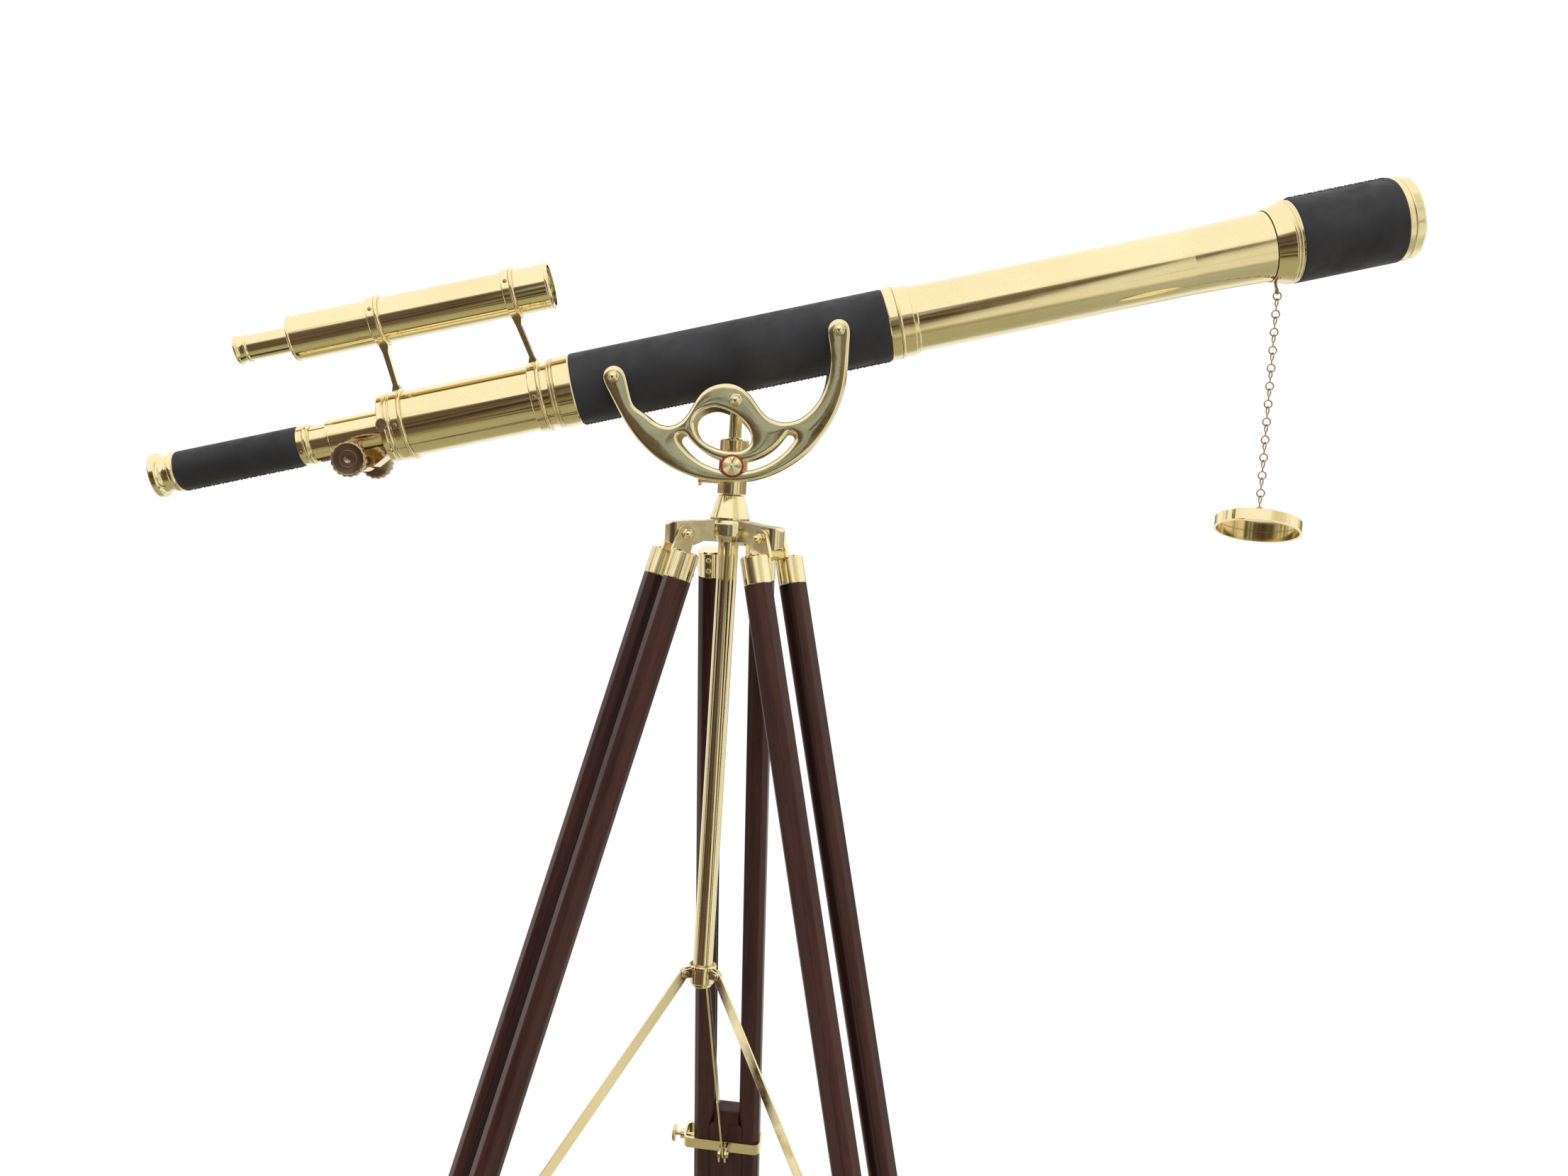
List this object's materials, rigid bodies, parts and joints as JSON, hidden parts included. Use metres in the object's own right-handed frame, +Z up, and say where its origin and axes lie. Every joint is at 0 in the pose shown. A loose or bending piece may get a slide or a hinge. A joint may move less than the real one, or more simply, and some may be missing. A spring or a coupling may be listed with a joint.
{
  "type": "telescope on tripod",
  "caption": "Refracting telescope with finder in a crescent saddle on a folding tripod with extending legs and a hanging lens cap.",
  "frame": {"origin": "on the floor, on the axis of the tripod's centre rod", "axes": "+Z up along the swivel axis, +X toward the objective at rest"},
  "size_m": [0.9739, 0.6631, 1.6209],
  "materials": {
    "polished_brass": "polished and lacquered",
    "cast_brass": "polished casting",
    "dark_brass": "aged",
    "black_leather": "fine grain, stitched seam",
    "stained_wood": "satin lacquer",
    "optical_glass": "polished",
    "red_fibre": "vulcanised fibre"
  },
  "bodies": {
    "head": {"head_casting": "cast_brass", "swivel_cone": "cast_brass", "hinge_bolts": "cast_brass", "centre_rod": "polished_brass"},
    "post": {"post": "cast_brass", "pivot_bolt": "cast_brass"},
    "pan_screw": {"pan_screw": "polished_brass"},
    "clamp": {"clamp_knob": "cast_brass", "clamp_washer": "red_fibre"},
    "telescope": {"saddle_plate_near": "cast_brass", "saddle_plate_far": "cast_brass", "horn_bolts": "cast_brass", "main_tube": "polished_brass", "tube_sleeve": "black_leather", "sleeve_rings": "polished_brass", "dew_cap": "polished_brass", "dew_sleeve": "black_leather", "objective_cell": "polished_brass", "objective_lenses": "optical_glass", "finder_brackets": "polished_brass", "bracket_screws": "dark_brass", "finder_tube": "polished_brass", "rear_cap": "polished_brass", "focuser_tube": "polished_brass", "chain_eyelet": "dark_brass"},
    "draw": {"draw_tube": "polished_brass", "draw_sleeve": "black_leather", "draw_collar": "polished_brass", "collar_screw": "dark_brass", "eyepiece_cup": "polished_brass", "eyepiece_lenses": "optical_glass", "focus_rack": "dark_brass"},
    "pinion": {"focus_pinion": "dark_brass", "focus_knobs": "dark_brass"},
    "finder_draw": {"finder_eyepiece": "polished_brass"},
    "jump_ring": {"jump_ring": "dark_brass"},
    "chain": {"cap_chain": "dark_brass"},
    "lens_cap": {"lens_cap": "polished_brass"},
    "collar": {"spreader_collar": "polished_brass"},
    "brace_a": {"brace_a": "polished_brass"},
    "leg_a_upper": {"leg_a_poles": "stained_wood", "leg_a_ferrules": "polished_brass", "leg_a_band": "polished_brass"},
    "leg_a_lower": {"leg_a_slider": "stained_wood", "leg_a_foot": "polished_brass"},
    "leg_a_screw": {"leg_a_band_screw": "polished_brass"},
    "brace_b": {"brace_b": "polished_brass"},
    "leg_b_upper": {"leg_b_poles": "stained_wood", "leg_b_ferrules": "polished_brass", "leg_b_band": "polished_brass"},
    "leg_b_lower": {"leg_b_slider": "stained_wood", "leg_b_foot": "polished_brass"},
    "leg_b_screw": {"leg_b_band_screw": "polished_brass"},
    "brace_c": {"brace_c": "polished_brass"},
    "leg_c_upper": {"leg_c_poles": "stained_wood", "leg_c_ferrules": "polished_brass", "leg_c_band": "polished_brass"},
    "leg_c_lower": {"leg_c_slider": "stained_wood", "leg_c_foot": "polished_brass"},
    "leg_c_screw": {"leg_c_band_screw": "polished_brass"}
  },
  "joints": [
    {"name": "pan_swivel", "type": "hinge", "parent": "head", "child": "post", "pos_m": [0, 0, 1.3415], "axis": [0, 0, 1], "continuous": true},
    {"name": "saddle_tilt", "type": "hinge", "parent": "post", "child": "telescope", "pos_m": [0, 0, 1.4135], "axis": [0, -1, 0], "range_deg": [-58, 48]},
    {"name": "clamp_turn", "type": "hinge", "parent": "post", "child": "clamp", "pos_m": [0, -0.034, 1.3635], "axis": [0, 1, 0], "range_deg": [0, 360]},
    {"name": "pan_screw_turn", "type": "hinge", "parent": "post", "child": "pan_screw", "pos_m": [-0.02, 0, 1.352], "axis": [1, 0, 0], "range_deg": [0, 360]},
    {"name": "focus_slide", "type": "slide", "parent": "telescope", "child": "draw", "axis": [-0.9646, 0, -0.2639], "range_m": [-0.012, 0.036]},
    {"name": "pinion_turn", "type": "hinge", "parent": "telescope", "child": "pinion", "pos_m": [-0.28898, 0, 1.34999], "axis": [0, -1, 0], "range_deg": [-117, 346]},
    {"name": "finder_focus", "type": "slide", "parent": "telescope", "child": "finder_draw", "axis": [-0.9646, 0, -0.2639], "range_m": [-0.03, 0.01]},
    {"name": "ring_plumb", "type": "hinge", "parent": "telescope", "child": "jump_ring", "pos_m": [0.4162, 0, 1.52549], "axis": [0, -1, 0], "range_deg": [-48, 58]},
    {"name": "chain_swing", "type": "hinge", "parent": "jump_ring", "child": "chain", "pos_m": [0.4162, 0, 1.52374], "axis": [0, -1, 0], "range_deg": [-20, 20]},
    {"name": "cap_tilt", "type": "hinge", "parent": "chain", "child": "lens_cap", "pos_m": [0.4162, 0, 1.35264], "axis": [0, -1, 0], "range_deg": [-20, 20]},
    {"name": "leg_a_fold", "type": "hinge", "parent": "head", "child": "leg_a_upper", "pos_m": [-0.0364, -0.01659, 1.31], "axis": [0.4147, -0.91, 0], "range_deg": [0, 13]},
    {"name": "leg_b_fold", "type": "hinge", "parent": "head", "child": "leg_b_upper", "pos_m": [0.0313, -0.0249, 1.31], "axis": [0.6225, 0.7826, 0], "range_deg": [0, 13]},
    {"name": "leg_c_fold", "type": "hinge", "parent": "head", "child": "leg_c_upper", "pos_m": [0.00557, 0.03961, 1.31], "axis": [-0.9903, 0.1392, 0], "range_deg": [0, 13]},
    {"name": "collar_slide", "type": "slide", "parent": "head", "child": "collar", "axis": [0, 0, 1], "range_m": [0, 0.0344]},
    {"name": "brace_a_fold", "type": "hinge", "parent": "collar", "child": "brace_a", "pos_m": [-0.01365, -0.00622, 0.96], "axis": [0.4147, -0.91, 0], "range_deg": [0, 29.36]},
    {"name": "brace_b_fold", "type": "hinge", "parent": "collar", "child": "brace_b", "pos_m": [0.01174, -0.00934, 0.96], "axis": [0.6225, 0.7826, 0], "range_deg": [0, 29.36]},
    {"name": "brace_c_fold", "type": "hinge", "parent": "collar", "child": "brace_c", "pos_m": [0.00209, 0.01485, 0.96], "axis": [-0.9903, 0.1392, 0], "range_deg": [0, 29.36]},
    {"name": "leg_a_extend", "type": "slide", "parent": "leg_a_upper", "child": "leg_a_lower", "axis": [-0.2432, -0.1108, -0.9636], "range_m": [-0.5, 0.035]},
    {"name": "leg_a_screw_turn", "type": "hinge", "parent": "leg_a_upper", "child": "leg_a_screw", "pos_m": [-0.16338, -0.12589, 0.72989], "axis": [-0.4147, 0.91, 0], "range_deg": [0, 360]},
    {"name": "leg_b_extend", "type": "slide", "parent": "leg_b_upper", "child": "leg_b_lower", "axis": [0.2091, -0.1664, -0.9636], "range_m": [-0.5, 0.035]},
    {"name": "leg_b_screw_turn", "type": "hinge", "parent": "leg_b_upper", "child": "leg_b_screw", "pos_m": [0.18634, -0.08842, 0.72989], "axis": [-0.6225, -0.7826, 0], "range_deg": [0, 360]},
    {"name": "leg_c_extend", "type": "slide", "parent": "leg_c_upper", "child": "leg_c_lower", "axis": [0.0372, 0.2646, -0.9636], "range_m": [-0.5, 0.035]},
    {"name": "leg_c_screw_turn", "type": "hinge", "parent": "leg_c_upper", "child": "leg_c_screw", "pos_m": [-0.01839, 0.20544, 0.72989], "axis": [0.9903, -0.1392, 0], "range_deg": [0, 360]}
  ],
  "couplings": [
    {"joint": "pinion_turn", "follows": "focus_slide", "rad_per_m": 166.67},
    {"joint": "ring_plumb", "follows": "saddle_tilt", "ratio": -1},
    {"joint": "leg_b_fold", "follows": "leg_a_fold", "ratio": 1},
    {"joint": "leg_c_fold", "follows": "leg_a_fold", "ratio": 1},
    {"joint": "collar_slide", "follows": "leg_a_fold", "m_per_rad": 0.15091},
    {"joint": "brace_a_fold", "follows": "leg_a_fold", "ratio": 2.2355},
    {"joint": "brace_b_fold", "follows": "leg_a_fold", "ratio": 2.2355},
    {"joint": "brace_c_fold", "follows": "leg_a_fold", "ratio": 2.2355}
  ]
}
